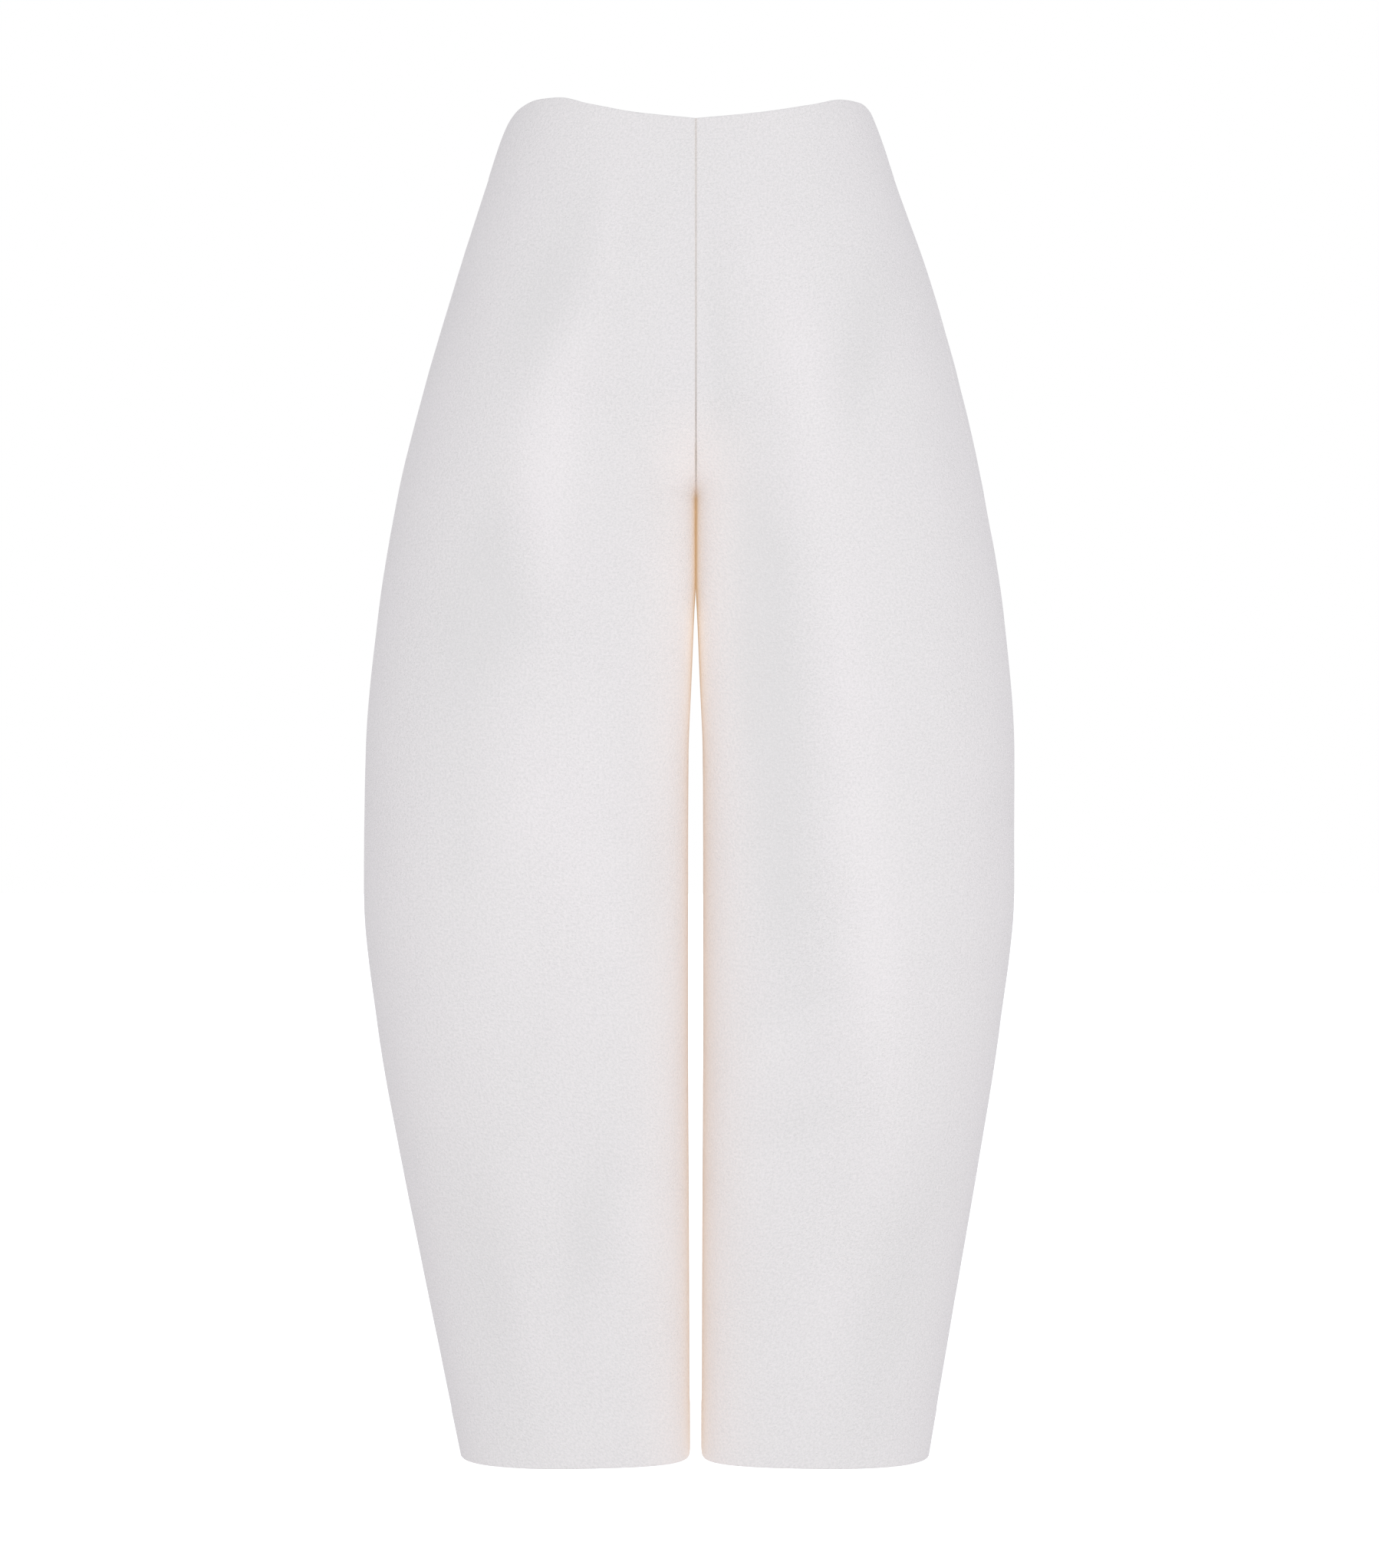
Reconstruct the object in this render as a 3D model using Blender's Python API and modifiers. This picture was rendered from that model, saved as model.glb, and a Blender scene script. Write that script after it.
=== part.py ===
"""Barrel leg trousers in their worn, hollow shape: four cloth panels and a concealed side zip.

Metres, +Z up. The front faces -Y and the wearer's left is +X. The origin is the middle of the
waist ring, 20 mm below the highest points of the waist edge. The plane x = 0 holds the centre
front and centre back seams.
"""
import math
from collections import namedtuple

import bmesh
import bpy
import numpy as np
from mathutils import Matrix, Vector

# Cloth and seams
CLOTH = 0.0018
TAPE = 0.001
GAP = 0.0003
HALF_GAP = GAP / 2

# How square the level sections are where they are deepest, towards the side and towards the
# inner leg, and on the back of the inner leg: 2 is an ellipse
CREST_SQUARENESS = 2.3
INNER_CREST_SQUARENESS = 3.2
BACK_CORNER = 3.0

# Mesh density: rows down a panel, columns across it and how much closer they lie at the inner
# leg, and points on a quarter of a section. The first column is as wide as half the zip's tape.
ROWS = 43
EDGE_ROW = 0.007
COLUMNS = 15
TAPE_SHARE = 0.055
INNER_CLOSENESS = 0.45
QUARTER = 64
PROBE = 0.0004
SEAM_SAMPLES = 900
RUN_STEP = 0.002

# The height below which the front and back of a leg meet at the inseam. Rows lie closer near it.
FORK = -0.2640
FORK_BLEND = 0.020
FORK_NEAR = 0.030
FORK_CLOSENESS = 1.2
HEM_OUTER = -0.9650
HEM_INNER = -0.9602

LEFT, RIGHT = 1, -1
FRONT, BACK = -1, 1

# Outer shape by height: how far out the wearer's right and left sides reach, how deep the
# front and back are, the depth at which the sides are widest, and how square the sides are
Outline = namedtuple("Outline", "z right left front back middle square")
OUTLINE = [
    Outline(0.025, 0.1315, 0.1270, 0.0945, 0.0880, -0.004, 2.15),
    Outline(0.005, 0.1412, 0.1350, 0.0960, 0.0920, -0.003, 2.10),
    Outline(-0.030, 0.1536, 0.1472, 0.1000, 0.1000, 0.002, 2.00),
    Outline(-0.100, 0.1762, 0.1724, 0.1090, 0.1130, 0.004, 1.82),
    Outline(-0.180, 0.1996, 0.1950, 0.1165, 0.1200, 0.001, 1.72),
    Outline(-0.260, 0.2188, 0.2120, 0.1205, 0.1180, -0.006, 1.78),
    Outline(-0.350, 0.2334, 0.2264, 0.1205, 0.1120, -0.006, 1.95),
    Outline(-0.450, 0.2424, 0.2340, 0.1175, 0.1070, -0.003, 2.05),
    Outline(-0.550, 0.2438, 0.2340, 0.1125, 0.1025, 0.000, 2.10),
    Outline(-0.650, 0.2336, 0.2234, 0.1055, 0.0975, 0.000, 2.10),
    Outline(-0.750, 0.2158, 0.2077, 0.0960, 0.0905, 0.000, 2.10),
    Outline(-0.850, 0.1957, 0.1905, 0.0845, 0.0820, 0.000, 2.15),
    Outline(-0.970, 0.1712, 0.1702, 0.0705, 0.0720, 0.000, 2.20),
]

# Inner shape by height: how far from the centre a half is deepest, where its inner side lies,
# and how square its front inner corner is, because the thighs press flat together. A negative
# inner side is cut off by the centre plane, which draws the rise seam.
Inside = namedtuple("Inside", "z crest inner corner")
INSIDE = [
    Inside(0.025, 0.030, -0.1450, 3.0),
    Inside(-0.030, 0.048, -0.1450, 3.2),
    Inside(-0.100, 0.070, -0.1200, 4.0),
    Inside(-0.160, 0.081, -0.0800, 5.5),
    Inside(-0.200, 0.087, -0.0460, 7.5),
    Inside(-0.228, 0.091, -0.0200, 9.0),
    Inside(-0.250, 0.094, -0.0070, 10.0),
    Inside(-0.2625, 0.096, -0.0010, 10.0),
    Inside(-0.268, 0.097, 0.0005, 10.0),
    Inside(-0.322, 0.103, 0.0004, 10.0),
    Inside(-0.345, 0.106, 0.0011, 9.5),
    Inside(-0.400, 0.112, 0.0034, 8.5),
    Inside(-0.450, 0.117, 0.0054, 7.5),
    Inside(-0.520, 0.121, 0.0057, 6.5),
    Inside(-0.650, 0.119, 0.0057, 5.5),
    Inside(-0.800, 0.107, 0.0050, 4.8),
    Inside(-0.970, 0.088, 0.0045, 4.4),
]

# The side seams, as the way round from the widest point: forward is negative
SideSeam = namedtuple("SideSeam", "z right left")
SIDE_SEAM = [
    SideSeam(0.025, 0.012, 0.032),
    SideSeam(-0.060, 0.010, 0.004),
    SideSeam(-0.130, 0.008, -0.026),
    SideSeam(-0.195, 0.007, -0.037),
    SideSeam(-0.270, 0.006, -0.026),
    SideSeam(-0.360, 0.006, -0.008),
    SideSeam(-0.480, 0.004, -0.002),
    SideSeam(-0.970, 0.000, 0.000),
]

# The waist edge: its height at shares of the way from the side seam to the centre seam
WaistEdge = namedtuple("WaistEdge", "share front back")
WAIST_EDGE = [
    WaistEdge(0.00, 0.0105, 0.0105),
    WaistEdge(0.12, 0.0135, 0.0110),
    WaistEdge(0.24, 0.0205, 0.0125),
    WaistEdge(0.34, 0.0232, 0.0135),
    WaistEdge(0.46, 0.0222, 0.0140),
    WaistEdge(0.60, 0.0155, 0.0140),
    WaistEdge(0.78, 0.0085, 0.0140),
    WaistEdge(1.00, 0.0040, 0.0140),
]

# The largest soft folds: where each is centred, how far it fades along and across, how high
# it stands (a hollow is negative) and how far its top leans towards +X
Fold = namedtuple("Fold", "face x z along across height lean")
FOLDS = [
    Fold(FRONT, -0.110, -0.127, 0.065, 0.024, -0.0030, 21),
    Fold(FRONT, -0.106, -0.240, 0.075, 0.028, 0.0028, 4),
    Fold(FRONT, -0.157, -0.350, 0.080, 0.032, -0.0032, 12),
    Fold(FRONT, -0.090, -0.520, 0.120, 0.036, 0.0018, 3),
    Fold(FRONT, -0.078, -0.800, 0.065, 0.018, -0.0018, 10),
    Fold(FRONT, -0.150, -0.830, 0.110, 0.026, -0.0022, -8),
    Fold(FRONT, 0.078, -0.190, 0.100, 0.022, 0.0020, -10),
    Fold(FRONT, 0.122, -0.145, 0.060, 0.020, -0.0021, 14),
    Fold(FRONT, 0.052, -0.400, 0.150, 0.026, -0.0030, -5),
    Fold(FRONT, 0.118, -0.520, 0.180, 0.026, 0.0020, -6),
    Fold(FRONT, 0.150, -0.830, 0.110, 0.026, -0.0022, 12),
    Fold(BACK, -0.095, -0.090, 0.060, 0.022, -0.0028, 24),
    Fold(BACK, 0.098, -0.100, 0.065, 0.024, -0.0026, -28),
    Fold(BACK, -0.085, -0.300, 0.100, 0.030, -0.0026, 32),
    Fold(BACK, 0.100, -0.285, 0.090, 0.028, -0.0022, -26),
    Fold(BACK, -0.135, -0.430, 0.130, 0.028, 0.0024, 6),
    Fold(BACK, 0.150, -0.470, 0.120, 0.026, -0.0028, -8),
    Fold(BACK, -0.085, -0.640, 0.120, 0.028, -0.0026, -7),
    Fold(BACK, 0.095, -0.700, 0.130, 0.030, 0.0020, 5),
]
FOLD_CLEAR_OF_CENTRE = 0.035

# The concealed zip in the wearer's left side seam. Its tape lies behind these rows of the panels.
ZIP_FIRST_ROW = 1
ZIP_LAST_ROW = 10
SLIDER_HEIGHT = -0.0060
SEAM_STEP = 0.002
PLATE_WIDTH = 0.0050
PLATE_LENGTH = 0.0080
PLATE_THICKNESS = 0.0008
PLATE_ROUNDING = 0.00024
EAR_THICKNESS = 0.0008
EAR_LENGTH = 0.0022
EAR_TOP = 0.0007
PIN_RADIUS = 0.0004
KNUCKLE_RADIUS = 0.0010
KNUCKLE_LENGTH = 0.0022
BORE_RADIUS = 0.00065
PIVOT_UP_PLATE = 0.0015
TAB_LENGTH = 0.0200
TAB_NECK = 0.0020
TAB_WIDTH = 0.0060
TAB_THICKNESS = 0.0009
TAB_REST_DEG = 4.0
FOOT_ARC = range(-15, 196, 15)
ROUND_SIDES = 24
WELD = 0.00001

IVORY = (0.80, 0.78, 0.76)
TAPE_IVORY = (0.84, 0.82, 0.78)
ENAMEL = (0.82, 0.80, 0.77)


def curve(rows, column, at, key="z"):
    """Value of a table's column, on a curve that passes each row and never overshoots."""
    places = np.array([getattr(row, key) for row in rows])
    values = np.array([getattr(row, column) for row in rows])
    order = np.argsort(places)
    places, values = places[order], values[order]
    step = np.diff(places)
    rate = np.diff(values) / step
    slope = np.zeros_like(values)
    slope[0], slope[-1] = rate[0], rate[-1]
    turning = rate[:-1] * rate[1:] <= 0
    total = np.where(turning, 1.0, rate[:-1] + rate[1:])
    slope[1:-1] = np.where(turning, 0.0, 2 * rate[:-1] * rate[1:] / total)
    at = np.clip(np.asarray(at, dtype=float), places[0], places[-1])
    k = np.clip(np.searchsorted(places, at) - 1, 0, len(step) - 1)
    t = (at - places[k]) / step[k]
    rising = t * t * (3 - 2 * t)
    start = slope[k] * step[k] * t * (1 - t) ** 2
    finish = slope[k + 1] * step[k] * t * t * (1 - t)
    return values[k] + (values[k + 1] - values[k]) * rising + start - finish


def quarter(start, finish, crest_square, side_square):
    """Across and depth shares of a rounded quarter, for angles from start to finish."""
    angle = start + (finish - start) * np.linspace(0, 1, QUARTER)
    across = np.clip(np.cos(angle), 0, 1) ** (2 / crest_square)
    return across, np.clip(np.sin(angle), 0, 1) ** (2 / side_square)


def half_section(side, z):
    """Level sections of one half at heights z, from centre front round the side to centre back.

    Gives the points of each section, and how far round it each point and the side seam lie.
    """
    z = np.asarray(z, dtype=float)[:, None]
    outer = curve(OUTLINE, "left" if side == LEFT else "right", z)
    front = curve(OUTLINE, "front", z)
    back = curve(OUTLINE, "back", z)
    middle = curve(OUTLINE, "middle", z)
    crest = curve(INSIDE, "crest", z)
    inner = curve(INSIDE, "inner", z)
    square = curve(OUTLINE, "square", z)
    corner = curve(INSIDE, "corner", z)
    kept = np.clip((crest - HALF_GAP) / (crest - inner), 0, 1)
    cut = np.arccos(kept ** (INNER_CREST_SQUARENESS / 2))
    parts = []
    for face, depth, inner_square in ((FRONT, front + middle, corner),
                                      (BACK, back - middle, BACK_CORNER)):
        across, deep = quarter(cut, math.pi / 2, INNER_CREST_SQUARENESS, inner_square)
        inside = np.stack([crest - (crest - inner) * across, middle + face * depth * deep], axis=-1)
        across, deep = quarter(math.pi / 2, 0, CREST_SQUARENESS, square)
        outside = np.stack([crest + (outer - crest) * across, middle + face * depth * deep], axis=-1)
        half = np.concatenate([inside, outside[:, 1:]], axis=1)
        parts.append(half if face == FRONT else half[:, ::-1][:, 1:])
    flat = np.concatenate(parts, axis=1)
    step = np.linalg.norm(np.diff(flat, axis=1), axis=-1)
    along = np.concatenate([np.zeros((len(flat), 1)), np.cumsum(step, axis=1)], axis=1)
    widest = along[:, 2 * QUARTER - 2]
    seam = widest + curve(SIDE_SEAM, "left" if side == LEFT else "right", z[:, 0])
    return flat, along, seam


def reach(side, z, face):
    """How far round it is from the side seam to the centre seam or inseam, at heights z."""
    _, along, seam = half_section(side, z)
    return seam if face == FRONT else along[:, -1] - seam


def plain_point(side, z, away):
    """Points on the smooth outer face, away metres round from the side seam, front negative."""
    flat, along, seam = half_section(side, z)
    points = np.empty((len(flat), 3))
    for row, target in enumerate(seam + away):
        points[row, 0] = side * np.interp(target, along[row], flat[row, :, 0])
        points[row, 1] = np.interp(target, along[row], flat[row, :, 1])
    points[:, 2] = z
    return points


def fold_height(points, normals):
    """How far the large folds lift the cloth at the given points."""
    lift = np.zeros(len(points))
    for fold in FOLDS:
        lean = math.radians(fold.lean)
        across = (points[:, 0] - fold.x) * math.cos(lean) - (points[:, 2] - fold.z) * math.sin(lean)
        along = (points[:, 0] - fold.x) * math.sin(lean) + (points[:, 2] - fold.z) * math.cos(lean)
        fade = np.exp(-(across / fold.across) ** 2 - (along / fold.along) ** 2)
        facing = np.clip(fold.face * normals[:, 1], 0, 1)
        lift += fold.height * fade * facing
    clear = np.clip(np.abs(points[:, 0]) / FOLD_CLEAR_OF_CENTRE, 0, 1)
    return lift * clear * clear * (3 - 2 * clear)


def seam_track(side, face, top):
    """Heights and reaches down the centre seam and inseam, in short steps all the way.

    The seam runs level under the body just above the fork, where height alone can't place it.
    """
    heights = np.linspace(top, HEM_INNER, SEAM_SAMPLES)
    reaches = reach(side, heights, face)
    depth, spans = [heights[:1]], [reaches[:1]]
    for height, start, finish in zip(heights[1:], reaches, reaches[1:]):
        count = 1 + int(abs(finish - start) / RUN_STEP)
        depth.append(np.full(count, height))
        spans.append(np.linspace(start, finish, count + 1)[1:])
    return np.concatenate(depth), np.concatenate(spans)


def cloth(side, z, away):
    """Points on the outer face with its folds, and the outward directions there."""
    z, away = np.asarray(z, dtype=float), np.asarray(away, dtype=float)
    points = plain_point(side, z, away)
    round_way = plain_point(side, z, away + PROBE) - plain_point(side, z, away - PROBE)
    downward = plain_point(side, z - PROBE, away) - points
    normals = side * np.cross(downward, round_way)
    normals /= np.linalg.norm(normals, axis=1)[:, None]
    return points + normals * fold_height(points, normals)[:, None], normals


def material(name, colour, roughness, metallic=0.0):
    """A plain Principled material."""
    made = bpy.data.materials.new(name)
    made.use_nodes = True
    shader = made.node_tree.nodes["Principled BSDF"]
    shader.inputs["Base Color"].default_value = (*colour, 1.0)
    shader.inputs["Roughness"].default_value = roughness
    shader.inputs["Metallic"].default_value = metallic
    return made


def wall(name, collection, outer, inner, outward_left, mirrored_columns=0):
    """A closed wall between two grids of points, with rims round its four edges.

    Each square of the grid is split from its first corner, or from its second in the first
    mirrored columns, so that a piece that lies on another is split as that one is.
    """
    rows, columns = outer.shape[:2]
    mesh = bpy.data.meshes.new(name)
    work = bmesh.new()
    outside = [[work.verts.new(point) for point in row] for row in outer]
    inside = [[work.verts.new(point) for point in row] for row in inner]
    for i in range(rows - 1):
        for j in range(columns - 1):
            ring = [(i, j), (i + 1, j), (i + 1, j + 1), (i, j + 1)]
            if j < mirrored_columns:
                ring = ring[1:] + ring[:1]
            for loop in (ring[:3], [ring[0], *ring[2:]]):
                work.faces.new([outside[row][column] for row, column in loop])
                work.faces.new([inside[row][column] for row, column in reversed(loop)])
    border = [(0, j) for j in range(columns - 1)]
    border += [(i, columns - 1) for i in range(rows - 1)]
    border += [(rows - 1, j) for j in range(columns - 1, 0, -1)]
    border += [(i, 0) for i in range(rows - 1, 0, -1)]
    for (i, j), (k, m) in zip(border, border[1:] + border[:1]):
        work.faces.new((outside[i][j], outside[k][m], inside[k][m], inside[i][j]))
    if not outward_left:
        bmesh.ops.reverse_faces(work, faces=work.faces[:])
    for face in work.faces:
        face.smooth = True
    work.to_mesh(mesh)
    work.free()
    made = bpy.data.objects.new(name, mesh)
    collection.objects.link(made)
    return made


def panel_grid(side, face):
    """Points and outward directions of a cut panel's outer face, in rows from the waist down.

    Columns run from the side seam to the centre seam, and on down the inseam.
    """
    edge = "front" if face == FRONT else "back"
    top = float(curve(WAIST_EDGE, edge, 1.0, key="share"))
    depth, spans = seam_track(side, face, top)
    seam_line = plain_point(side, depth, face * spans)
    closeness = 1 + FORK_CLOSENESS * np.exp(-((depth[1:] - FORK) / FORK_NEAR) ** 2)
    length = np.linalg.norm(np.diff(seam_line, axis=0), axis=1) * closeness
    length = np.concatenate([[0], np.cumsum(length)])
    fall = np.concatenate([[0], np.linspace(EDGE_ROW, 1, ROWS)])
    centre_z = np.interp(fall * length[-1], length, depth)
    centre_span = np.interp(fall * length[-1], length, spans)

    even = np.linspace(0, 1, COLUMNS)
    closer = even + INNER_CLOSENESS * even * (1 - even)
    share = np.concatenate([[0], TAPE_SHARE + (1 - TAPE_SHARE) * closer])[None, :]
    drop_side = fall[:, None]
    drop_centre = ((top - centre_z) / (top - HEM_INNER))[:, None]
    drop = drop_side + (drop_centre - drop_side) * share ** 2
    waist = curve(WAIST_EDGE, edge, share, key="share")
    hem = HEM_OUTER + (HEM_INNER - HEM_OUTER) * share ** 2
    z = waist + (hem - waist) * drop

    below_fork = np.clip((FORK + FORK_BLEND - centre_z) / FORK_BLEND, 0, 1)
    span = centre_span - HALF_GAP - HALF_GAP * below_fork
    away = face * (HALF_GAP + share * span[:, None])
    points, normals = cloth(side, z.ravel(), away.ravel())
    shape = (ROWS + 1, COLUMNS + 1, 3)
    return points.reshape(shape), normals.reshape(shape)


def panel(name, collection, side, face):
    """One cut panel of cloth."""
    outer, normals = panel_grid(side, face)
    made = wall(name, collection, outer, outer - CLOTH * normals, outward_left=side * face > 0)
    made.data.materials.append(material(name, IVORY, 0.9))
    return made


def zip_tape(name, collection):
    """The zip's woven tape, made from the panels' own inner points on both sides of the seam."""
    rows = slice(ZIP_FIRST_ROW, ZIP_LAST_ROW + 1)
    front, front_normals = (grid[rows, :2] for grid in panel_grid(LEFT, FRONT))
    back, back_normals = (grid[rows, :2] for grid in panel_grid(LEFT, BACK))
    seat_front = front - (CLOTH + GAP) * front_normals
    seat_back = back - (CLOTH + GAP) * back_normals
    seam = (seat_front[:, 0] + seat_back[:, 0]) / 2
    outer = np.stack([seat_front[:, 1], seam, seat_back[:, 1]], axis=1)
    normals = np.stack([front_normals[:, 1], front_normals[:, 0], back_normals[:, 1]], axis=1)
    made = wall(name, collection, outer, outer - TAPE * normals, outward_left=True,
                mirrored_columns=1)
    made.data.materials.append(material(name, TAPE_IVORY, 0.8))
    return made


def seam_frame(z):
    """Place on the left side seam: X outward, Y back along the waist, Z up along the seam."""
    points, normals = cloth(LEFT, [z, z + SEAM_STEP], [0.0, 0.0])
    outward = Vector(normals[0])
    upward = Vector(points[1] - points[0])
    upward = (upward - outward * upward.dot(outward)).normalized()
    frame = Matrix((outward, upward.cross(outward), upward)).transposed().to_4x4()
    frame.translation = Vector(points[0])
    return frame


def block(name, collection, size, middle):
    """A box of the given size, with its scale applied."""
    bpy.ops.mesh.primitive_cube_add(size=1)
    made = bpy.context.object
    made.name = name
    made.data.name = name
    made.data.transform(Matrix.Translation(middle) @ Matrix.Diagonal((*size, 1)))
    move_to(made, collection)
    return made


def rod(name, collection, radius, length, middle):
    """A round bar along Y."""
    bpy.ops.mesh.primitive_cylinder_add(vertices=ROUND_SIDES, radius=radius, depth=length)
    made = bpy.context.object
    made.name = name
    made.data.name = name
    made.data.transform(Matrix.Translation(middle) @ Matrix.Rotation(math.pi / 2, 4, "X"))
    move_to(made, collection)
    return made


def move_to(thing, collection):
    """Put an object in one collection only."""
    for old in list(thing.users_collection):
        old.objects.unlink(thing)
    collection.objects.link(thing)


def combine(base, tool, operation):
    """Join a tool to the base or cut it away, and hide the tool."""
    tool.hide_render = True
    tool.display_type = "WIRE"
    tool.parent = base
    change = base.modifiers.new(f"{operation.lower()} {tool.name}", "BOOLEAN")
    change.operation = operation
    change.object = tool


def zip_slider(collection, tools):
    """The slider's outer plate on the seam, with two ears and the pin that the pull hangs on."""
    pivot = Vector((GAP + PLATE_THICKNESS + GAP + KNUCKLE_RADIUS, 0, PIVOT_UP_PLATE))
    plate = block("zip_slider", collection, (PLATE_THICKNESS, PLATE_WIDTH, PLATE_LENGTH),
                  (GAP + PLATE_THICKNESS / 2, 0, 0))
    rounding = plate.modifiers.new("rounded plate", "BEVEL")
    rounding.width = PLATE_ROUNDING
    rounding.segments = 2
    ear_low = GAP + PLATE_THICKNESS / 2
    ear_high = pivot.x + EAR_TOP
    ear_across = KNUCKLE_LENGTH / 2 + GAP + EAR_THICKNESS / 2
    for word, way in (("front", -1), ("back", 1)):
        ear = block(f"ear_{word}", tools, (ear_high - ear_low, EAR_THICKNESS, EAR_LENGTH),
                    ((ear_high + ear_low) / 2, way * ear_across, pivot.z))
        combine(plate, ear, "UNION")
    pin = rod("slider_pin", tools, PIN_RADIUS, 2 * ear_across, pivot)
    combine(plate, pin, "UNION")
    plate.data.materials.append(material("zip_slider", ENAMEL, 0.35))
    plate.matrix_world = seam_frame(SLIDER_HEIGHT)
    return plate, pivot


def tab_outline():
    """The pull tab's outline, from its neck round its foot, as (across, up) points."""
    foot = TAB_WIDTH / 2
    centre = -TAB_LENGTH + foot
    arc = [math.radians(a) for a in FOOT_ARC]
    low = [(foot * math.cos(a), centre - foot * math.sin(a)) for a in arc]
    return [(TAB_NECK / 2, -KNUCKLE_RADIUS / 2), *low, (-TAB_NECK / 2, -KNUCKLE_RADIUS / 2)]


def zip_pull(collection, tools, slider, pivot):
    """The pull tab: a flat drop on a bored knuckle that turns on the slider's pin."""
    outline = bpy.data.curves.new("zip_pull", "CURVE")
    outline.dimensions = "2D"
    outline.fill_mode = "BOTH"
    outline.extrude = TAB_THICKNESS / 2
    spline = outline.splines.new("POLY")
    corners = tab_outline()
    spline.points.add(len(corners) - 1)
    for point, (across, up) in zip(spline.points, corners):
        point.co = (across, up, 0, 1)
    spline.use_cyclic_u = True
    drawn = bpy.data.objects.new("zip_pull_outline", outline)
    collection.objects.link(drawn)
    shape = bpy.data.meshes.new_from_object(drawn.evaluated_get(
        bpy.context.evaluated_depsgraph_get()))
    bpy.data.objects.remove(drawn)
    stand = Matrix(((0, 0, 1, 0), (1, 0, 0, 0), (0, 1, 0, 0), (0, 0, 0, 1)))
    shape.transform(stand)
    work = bmesh.new()
    work.from_mesh(shape)
    bmesh.ops.remove_doubles(work, verts=work.verts, dist=WELD)
    work.to_mesh(shape)
    work.free()
    pull = bpy.data.objects.new("zip_pull", shape)
    collection.objects.link(pull)
    combine(pull, rod("knuckle", tools, KNUCKLE_RADIUS, KNUCKLE_LENGTH, (0, 0, 0)), "UNION")
    combine(pull, rod("bore", tools, BORE_RADIUS, 2 * KNUCKLE_LENGTH, (0, 0, 0)), "DIFFERENCE")
    pull.data.materials.clear()
    pull.data.materials.append(material("zip_pull", ENAMEL, 0.35))
    lean = Matrix.Rotation(math.radians(TAB_REST_DEG), 4, "Y")
    pull.matrix_world = slider.matrix_world @ Matrix.Translation(pivot) @ lean
    return pull


def main():
    for thing in list(bpy.data.objects):
        bpy.data.objects.remove(thing, do_unlink=True)
    trousers = bpy.data.collections.new("barrel_leg_trousers")
    tools = bpy.data.collections.new("cutters")
    bpy.context.scene.collection.children.link(trousers)
    bpy.context.scene.collection.children.link(tools)
    for word, face in (("front", FRONT), ("back", BACK)):
        panel(f"{word}_left", trousers, LEFT, face)
        panel(f"{word}_right", trousers, RIGHT, face)
    zip_tape("zip_tape", trousers)
    slider, pivot = zip_slider(trousers, tools)
    zip_pull(trousers, tools, slider, pivot)


main()
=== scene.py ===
# %% [markdown]
# # Barrel leg trousers in ivory crepe
# A pair of trousers is a few flat pieces of cloth and the seams between them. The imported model
# already has those pieces at their real size: four leg panels, and a concealed zip in the left
# side seam. This lesson dresses it: each panel becomes a fine sheet with rolled seams, soft
# creases and a pebbled crepe surface. Loading the model first gives a frame to measure against.

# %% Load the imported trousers
import math
from collections import namedtuple

import bpy
import numpy as np
from mathutils import Matrix, Vector, noise


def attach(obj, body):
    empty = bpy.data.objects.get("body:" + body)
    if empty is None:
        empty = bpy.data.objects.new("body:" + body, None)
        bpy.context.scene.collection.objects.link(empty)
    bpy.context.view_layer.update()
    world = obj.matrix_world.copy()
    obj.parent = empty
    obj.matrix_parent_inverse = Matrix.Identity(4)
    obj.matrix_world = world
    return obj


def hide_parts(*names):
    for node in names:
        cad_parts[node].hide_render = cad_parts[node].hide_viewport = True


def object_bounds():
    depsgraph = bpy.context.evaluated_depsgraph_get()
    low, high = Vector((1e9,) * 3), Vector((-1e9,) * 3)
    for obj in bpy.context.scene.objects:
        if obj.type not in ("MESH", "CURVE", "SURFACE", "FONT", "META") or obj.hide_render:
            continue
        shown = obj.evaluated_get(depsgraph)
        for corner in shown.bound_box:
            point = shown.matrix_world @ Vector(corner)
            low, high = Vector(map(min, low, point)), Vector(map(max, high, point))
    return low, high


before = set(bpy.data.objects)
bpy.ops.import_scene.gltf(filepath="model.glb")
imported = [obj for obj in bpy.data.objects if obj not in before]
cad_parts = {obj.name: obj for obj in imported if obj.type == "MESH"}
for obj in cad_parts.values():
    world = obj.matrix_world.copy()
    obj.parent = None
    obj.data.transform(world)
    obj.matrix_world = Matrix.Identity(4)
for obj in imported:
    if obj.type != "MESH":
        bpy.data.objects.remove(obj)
cad_low, cad_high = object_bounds()
print("packed size in mm", [round(1000 * (b - a)) for a, b in zip(cad_low, cad_high)])

# %% [markdown]
# ## The camera
# The picture looks level at the front from about three metres, with its middle halfway down the
# legs. A long lens keeps the outline true. One pixel of the picture covers 0.565 mm at the cloth,
# and the centre seam lies a little right of the picture's middle, which moves the camera left.

# %% Camera
PICTURE_WIDE, PICTURE_HIGH = 1798, 2044
METRES_A_PIXEL = 0.000565
CENTRE_SEAM_PIXEL = 907
EYE_DISTANCE = 3.0
EYE_HEIGHT = -0.471
SENSOR = 36.0

eye_x = (PICTURE_WIDE / 2 - CENTRE_SEAM_PIXEL) * METRES_A_PIXEL
bpy.ops.object.select_all(action="DESELECT")
bpy.ops.object.camera_add(location=(eye_x, -EYE_DISTANCE, EYE_HEIGHT), rotation=(math.pi / 2, 0, 0))
camera = bpy.context.object
camera.name = "camera"
camera.data.sensor_width = SENSOR
camera.data.lens = SENSOR * EYE_DISTANCE / (PICTURE_HIGH * METRES_A_PIXEL)
bpy.context.scene.camera = camera
print("lens", round(camera.data.lens, 1), "mm")

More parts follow.
